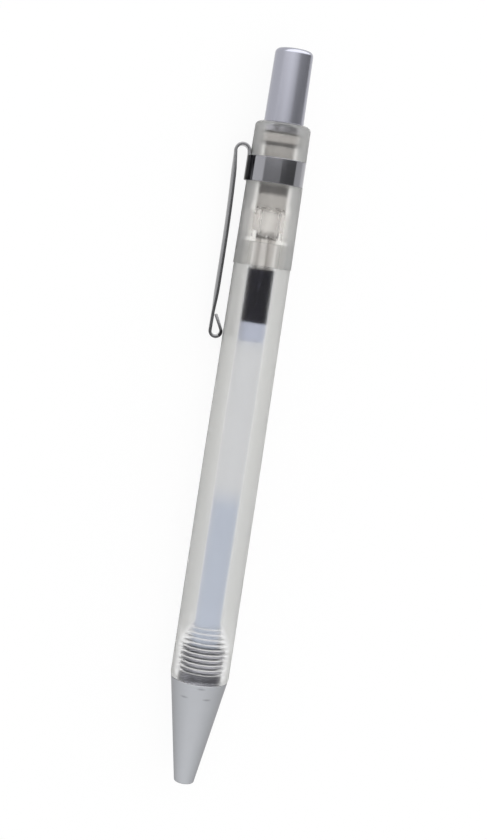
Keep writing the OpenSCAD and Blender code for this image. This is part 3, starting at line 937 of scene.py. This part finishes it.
@dataclass
class NoseCone:
    """Screwed nose cone: a blasted cone, and a turned neck and thread that show through the barrel."""

    length: float = 19.7
    tip_r: float = 1.78
    big_r: float = 5.38
    edge: float = 0.34
    hole_r: float = 1.30
    hole_len: float = 3.2
    holder_r: float = 1.9
    seat_at: float = 7.6
    spring_r: float = 2.5
    tube_room_at: float = 12.2
    tube_r: float = 3.1
    neck_r: float = 4.15
    thread_at: float = 21.3
    pitch: float = 0.96
    depth: float = 0.3
    ridges: int = 5
    relief_len: float = 0.06
    end_at: float = 26.1
    rim_swell: float = 0.06
    face_gap: float = 0.02
    big_round: float = 0.12
    cut_round: float = 0.1
    thread_root_round: float = 0.03
    thread_crest_round: float = 0.05
    skin_depth: float = 0.3

    def build(self) -> None:
        """Turn the cone with its stepped bore and its thread."""
        thread = []
        for i in range(self.ridges):
            at = self.thread_at + i * self.pitch
            thread += [Corner(at, self.neck_r - self.depth, self.thread_root_round),
                       Corner(at + self.pitch / 2, self.neck_r, self.thread_crest_round)]
        face, neck_end = self.length - self.face_gap, self.thread_at - self.relief_len
        corners = [
            Corner(0.0, self.hole_r, self.cut_round), Corner(0.0, self.tip_r + self.rim_swell, self.edge),
            Corner(face, self.big_r, self.big_round), Corner(face, self.neck_r),
            Corner(neck_end, self.neck_r), Corner(neck_end, self.neck_r - self.depth), *thread,
            Corner(self.end_at, self.neck_r - self.depth, self.cut_round),
            Corner(self.end_at, self.tube_r, self.cut_round),
            Corner(self.tube_room_at, self.tube_r), Corner(self.tube_room_at, self.spring_r),
            Corner(self.seat_at, self.spring_r), Corner(self.seat_at, self.holder_r),
            Corner(self.hole_len, self.holder_r), Corner(self.hole_len, self.hole_r)]
        bm = turned(corners, wall_of=self.wall)
        # The neck, thread and bore take the turned metal, whose dark colour is painted shade.
        cone = piece_from("nose_cone_shell", bm, [BlastedAluminium().material(), TurnedMetal().material()])
        settle(cone, Body.NOSE, "satin_nose", "nose_cone")

    def wall(self, s: float, r: float) -> Wall:
        """Tell the blasted outside from the bare turned metal."""
        skin = self.tip_r + (self.big_r - self.tip_r) * s / self.length - self.skin_depth
        return Wall.OUTER if r > skin and s < self.length - self.face_gap / 2 else Wall.INNER


@dataclass
class ClickTop:
    """Push button, its plunger and the cam that turns under it."""

    foot_at: float = 123.67
    barrel_top: float = 125.5
    end_at: float = 139.7
    foot_r: float = 3.75
    top_r: float = 3.62
    round: float = 0.9
    dome: float = 0.18
    wall: float = 0.4
    foot_round: float = 0.06
    flat_share: float = 0.45
    inner_share: float = 0.6
    dome_steps: int = 6
    # Rings of painted shade: station, half width and colour.
    plunger_shade_rings: Rings = ((123.5, 0.33, "#25211f"), (121.3, 0.35, "#4f4a47"), (112.8, 0.95, "#2e2622"))
    cam_shade_rings: Rings = ((103.9, 0.5, "#625c57"),)

    def build_button(self) -> BMesh:
        """Turn the drawn shell with its domed top and rounded rim."""
        flat_r = self.top_r - self.round * self.flat_share
        outer = []
        for i in range(self.dome_steps):
            share = i / self.dome_steps
            outer.append(Corner(self.end_at - self.dome * share ** 2, flat_r * share))
        rim_at, roof_at = self.end_at - self.dome, self.end_at - self.dome - self.wall
        outer += [Corner(rim_at, self.top_r, self.round), Corner(self.barrel_top, self.foot_r),
                  Corner(self.foot_at, self.foot_r, self.foot_round)]
        inner = [Corner(self.foot_at, self.foot_r - self.wall, self.foot_round),
                 Corner(self.barrel_top, self.foot_r - self.wall),
                 Corner(roof_at, self.top_r - self.wall, self.round * self.inner_share),
                 Corner(roof_at, 0.0)]
        return turned(outer + inner, ring=False)

    def build(self) -> None:
        """Make and dress the click top's pieces."""
        button = piece_from("push_button_shell", self.build_button(), [SatinSilver().material()])
        settle(button, Body.BUTTON, "silver_shell", "push_button")
        # Natural acetal is a waxy off-white; the dark rings on the plunger and the cam, and the cam's darker
        # core, are painted shade.
        acetal = MouldedPlastic("natural_acetal_painted_shade", "#bfbcb9", roughness=0.4, rings=self.plunger_shade_rings)
        dress("plunger", acetal.material())
        with_painted_shade = MouldedPlastic("acetal_with_painted_shade", "#fbf8f6", roughness=0.4, rings=self.cam_shade_rings,
                                 core_shade_colour="#bcb7b3")
        dress("rotary_cam", with_painted_shade.material())


@dataclass
class Refill:
    """The refill: tube, plug, follower, ink, holder, metal point and ball, with its return spring."""

    tube_r: float = 2.95
    bore_r: float = 2.27
    tube_foot: float = 20.0
    tube_top: float = 97.9
    ink_foot: float = 25.22
    ink_top: float = 84.08
    cut_round: float = 0.08
    wet: float = 0.035
    meniscus: float = 0.5
    spring_r: float = 2.12
    wire_r: float = 0.19
    wire_sides: int = 12
    spring_foot: float = 7.81
    spring_head: float = 18.59
    coils: int = 8
    coil_steps: int = 32
    pressed_share: float = 0.414

    def build_tube(self) -> BMesh:
        """Turn the tube with softly cut ends."""
        return turned([Corner(self.tube_foot, self.bore_r),
                       Corner(self.tube_foot, self.tube_r, self.cut_round),
                       Corner(self.tube_top, self.tube_r, self.cut_round),
                       Corner(self.tube_top, self.bore_r, self.cut_round)], steps=SMALL_STEPS)

    def build_ink(self) -> BMesh:
        """Turn the ink, which wets the tube's bore, with a hollow at its upper end."""
        film_r = self.bore_r + self.wet
        low = self.ink_top - self.meniscus
        return turned([Corner(self.ink_foot, 0.0), Corner(self.ink_foot, film_r),
                       Corner(self.ink_top, film_r), Corner(low, film_r / 2), Corner(low, 0.0)], ring=False,
                      steps=SMALL_STEPS)

    def build_spring(self) -> BMesh:
        """Wind the wire: a ring of its section spun round the axis while it moves along."""
        bm = bmesh.new()
        ring = bmesh.ops.create_circle(bm, cap_ends=False, radius=self.wire_r, segments=self.wire_sides)
        bmesh.ops.translate(bm, verts=ring["verts"], vec=(self.spring_foot, self.spring_r, 0.0))
        steps = self.coils * self.coil_steps
        rise = (self.spring_head - self.spring_foot) / steps
        bmesh.ops.spin(bm, geom=bm.verts[:] + bm.edges[:], cent=(0, 0, 0), axis=(1, 0, 0),
                       angle=math.tau * self.coils, steps=steps, dvec=(rise, 0.0, 0.0))
        bmesh.ops.holes_fill(bm, edges=bm.edges[:], sides=0)
        return bm

    def build(self) -> None:
        """Make and dress the refill's pieces and the spring."""
        tube = piece_from("refill_tube_wall", self.build_tube(), [ExtrudedTube().material()])
        settle(tube, Body.REFILL, "refill_tube", "refill_tube")
        # Black polyethylene wetted by the tube: hardly any gloss of its own.
        dress("tail_plug",
              MouldedPlastic("black_polyethylene", "#151422", roughness=0.5, ior=1.2).material())
        # A clear gel that stops the ink drying: pale blue and wet.
        dress("ink_follower", MouldedPlastic("follower_gel", "#dde2f4", roughness=0.2).material())
        ink = piece_from("ink_film", self.build_ink(), [PaleInk().material()])
        settle(ink, Body.REFILL, "ink", "ink_column")
        # Natural polypropylene: milky, and light goes a little way into it.
        holder = MouldedPlastic("natural_polypropylene", "#e6e6e8", roughness=0.35, subsurface=0.2)
        dress("tip_holder", holder.material())
        # Nickel silver, turned bright, is a warm pale metal; ground tungsten carbide is grey and sharp. Both
        # are painted darker towards their edges as shade.
        point = TurnedMetal(name="nickel_silver", colour="#c9c4b6", side_shade_colour="#a5a094", roughness=0.22)
        dress("writing_tip", point.material())
        dress("tip_ball", TurnedMetal(name="tungsten_carbide", colour="#9a9a9e", roughness=0.1).material())
        wire = RolledSteel(name="drawn_spring_wire", colour="#a8a8ac", roughness=0.2,
                           along_the_strip=(1.0, 1.0, 1.0))
        spring = piece_from("return_spring_wire", self.build_spring(), [wire.material()])
        settle(spring, Body.BARREL, "spring_steel", "return_spring")
        tuple(PEN.place(self.spring_foot - self.wire_r))
        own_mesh(spring)


@dataclass
class Studio:
    """White studio: floor, world, one large soft lamp and the camera at the photograph's angle."""

    foot_at: float = 98.0
    distance: float = 300.0
    stand_angle: float = 30.606
    look_angle: float = 29.957
    swing: float = 0.1
    lean: float = 8.666
    focal: float = 1590.5
    rise: float = -0.181
    near: float = 0.01
    far: float = 20.0
    floor_half: float = 1.5
    paper_level: float = 0.9
    glow_share: float = 0.92
    # Levels of the room by the angle about the pen in degrees, as the button, the band and the rest see it.
    button_sky: Sky = ((-180.0, 0.5), (-95.0, 0.12), (-62.0, 0.25), (-42.0, 0.42), (-14.0, 0.5), (4.0, 1.25),
                       (36.0, 1.75), (56.0, 1.6), (88.0, 1.35), (95.0, 0.95), (180.0, 0.9))
    band_sky: Sky = ((-180.0, 0.9), (-54.0, 0.75), (-50.0, 0.13), (10.0, 0.13), (14.0, 0.36), (80.0, 0.36),
                     (86.0, 0.95), (180.0, 0.9))
    barrel_sky: Sky = ((-180.0, 0.9), (-70.0, 0.8), (-56.0, 0.1), (80.0, 0.1), (90.0, 0.9), (180.0, 0.9))
    band_from: float = 0.015
    band_to: float = 0.083
    band_blur: float = 0.004
    end_from: float = 0.3
    end_to: float = 0.45
    nose_level: float = 1.3
    button_end_level: float = 2.6
    fill: float = 1.23
    lamp_place: Triple = (0.35, 0.45, 0.7)
    lamp_size: float = 0.6
    lamp_power: float = 0.5

    def camera(self) -> None:
        """Place the camera square to the pen, with the photograph's lean and off-centre framing."""
        data = bpy.data.cameras.new("camera")
        data.sensor_fit, data.sensor_width = "AUTO", SENSOR
        data.lens = self.focal * SENSOR / IMAGE_LONG_SIDE
        data.shift_y = self.rise
        data.clip_start, data.clip_end = self.near, self.far
        camera = put_in_scene("camera", data)
        stand, look = math.radians(self.stand_angle), math.radians(self.look_angle)
        away = Vector((0.0, math.sin(stand), math.cos(stand))) * self.distance * MM
        place = PEN.place(self.foot_at) + away
        back = Vector((math.tan(math.radians(self.swing)), math.sin(look), math.cos(look))).normalized()
        along = (ALONG - back * back.x).normalized()
        aside = along.cross(back)
        lean = math.radians(self.lean)
        up = along * math.cos(lean) - aside * math.sin(lean)
        right = up.cross(back)
        turn = Matrix((right, up, back)).transposed().to_4x4()
        camera.matrix_world = Matrix.Translation(place) @ turn
        bpy.context.scene.camera = camera

    def floor(self) -> None:
        """Lay the white floor, which glows for the camera and keeps a soft shadow."""
        bm = bmesh.new()
        bmesh.ops.create_grid(bm, x_segments=2, y_segments=2, size=self.floor_half)
        mesh = bpy.data.meshes.new("floor")
        bm.to_mesh(mesh)
        bm.free()
        floor = put_in_scene("floor", mesh)
        material, tree = new_material("white_paper_sweep")
        path = add_node(tree, "LightPath")
        seen = add_node(tree, "Math", {"operation": "ADD"},
                        {0: path.outputs["Is Camera Ray"], 1: path.outputs["Is Glossy Ray"]})
        seen = add_node(tree, "Math", {"operation": "ADD", "use_clamp": True},
                        {0: seen, 1: path.outputs["Is Transmission Ray"]})
        share = add_node(tree, "Math", {"operation": "MULTIPLY", 1: self.glow_share}, {0: seen})
        paper = add_node(tree, "BsdfDiffuse", {"Color": (self.paper_level,) * 3 + (1.0,)})
        glow = add_node(tree, "Emission", {"Strength": 1.0})
        mesh.materials.append(finish_with(material, "MixShader", None, {0: share, 1: paper, 2: glow}))

    def angle_ramp(self, tree: NodeTree, share: Node, sky: Sky) -> NodeSocket:
        """Make a grey ramp over the angle about the pen, at half its levels so that none is over one.

        Args:
            tree: The world's tree.
            share: Node that gives the angle as 0 to 1.
            sky: Angles in degrees with their levels.

        Returns:
            The ramp's colour socket.
        """
        ramp = add_node(tree, "ValToRGB", links={0: share})
        fill_ramp(ramp, [((degrees + 180.0) / 360.0, self.grey(level)) for degrees, level in sky])
        return ramp.outputs[0]

    def grey(self, level: float) -> Colour:
        """Give half a level as a colour; the world's strength of 2 makes it whole again."""
        return (level / 2,) * 3 + (1.0,)

    def world(self) -> None:
        """Light matt surfaces evenly, and let glossy ones see a room that is dark round the camera."""
        world = bpy.data.worlds.new("studio")
        world.use_nodes = True
        tree = world.node_tree
        tree.nodes.clear()
        coords = add_node(tree, "TexCoord")
        parts = add_node(tree, "SeparateXYZ", links={0: coords.outputs["Generated"]})
        angle = add_node(tree, "Math", {"operation": "ARCTAN2"}, {0: parts.outputs[1], 1: parts.outputs[2]})
        share = add_node(tree, "MapRange", {"From Min": -math.pi, "From Max": math.pi}, {"Value": angle})
        room = self.angle_ramp(tree, share, self.barrel_sky)
        for middle, sky in ((self.band_from, self.band_sky), (self.band_to, self.button_sky)):
            past = add_node(tree, "MapRange",
                            {"From Min": middle - self.band_blur, "From Max": middle + self.band_blur},
                            {"Value": parts})
            room = add_node(tree, "Mix", {"data_type": "RGBA"},
                            {0: past, 6: room, 7: self.angle_ramp(tree, share, sky)}).outputs[2]
        for side, level in ((1.0, self.button_end_level), (-1.0, self.nose_level)):
            past = add_node(tree, "MapRange",
                            {"From Min": side * self.end_from, "From Max": side * self.end_to},
                            {"Value": parts})
            room = add_node(tree, "Mix", {"data_type": "RGBA", 7: self.grey(level)},
                            {0: past, 6: room}).outputs[2]
        shaped = add_node(tree, "Background", {"Strength": 2.0}, {"Color": room})
        fill = add_node(tree, "Background", {"Strength": self.fill})
        white = add_node(tree, "Background", {"Strength": 1.0})
        path = add_node(tree, "LightPath")
        matt = add_node(tree, "Math", {"operation": "MINIMUM", 1: 1.0}, {0: path.outputs["Diffuse Depth"]})
        lit = add_node(tree, "MixShader", links={0: matt, 1: shaped, 2: fill})
        mix = add_node(tree, "MixShader", links={0: path.outputs["Is Camera Ray"], 1: lit, 2: white})
        add_node(tree, "OutputWorld", links={"Surface": mix})
        bpy.context.scene.world = world

    def lamp(self) -> None:
        """Hang one large soft lamp over the clip's side, which only matt surfaces see."""
        data = bpy.data.lights.new("soft_lamp", "AREA")
        data.shape, data.size, data.energy = "SQUARE", self.lamp_size, self.lamp_power
        lamp = put_in_scene("soft_lamp", data)
        lamp.visible_glossy = False
        place = Vector(self.lamp_place)
        lamp.matrix_world = Matrix.Translation(place) @ place.to_track_quat("Z", "Y").to_matrix().to_4x4()

    def build(self) -> None:
        """Set up the studio."""
        self.camera()
        self.floor()
        self.world()
        self.lamp()
        bpy.context.scene.view_settings.view_transform = "Standard"


def main() -> None:
    """Build the studio and the pen's sub-assemblies in order."""
    logging.basicConfig(level=logging.INFO, format="%(name)s: %(message)s")
    Studio().build()
    for part in (BarrelParts(), PocketClip(), NoseCone(), ClickTop(), Refill()):
        part.build()


if __name__ == "__main__":
    main()
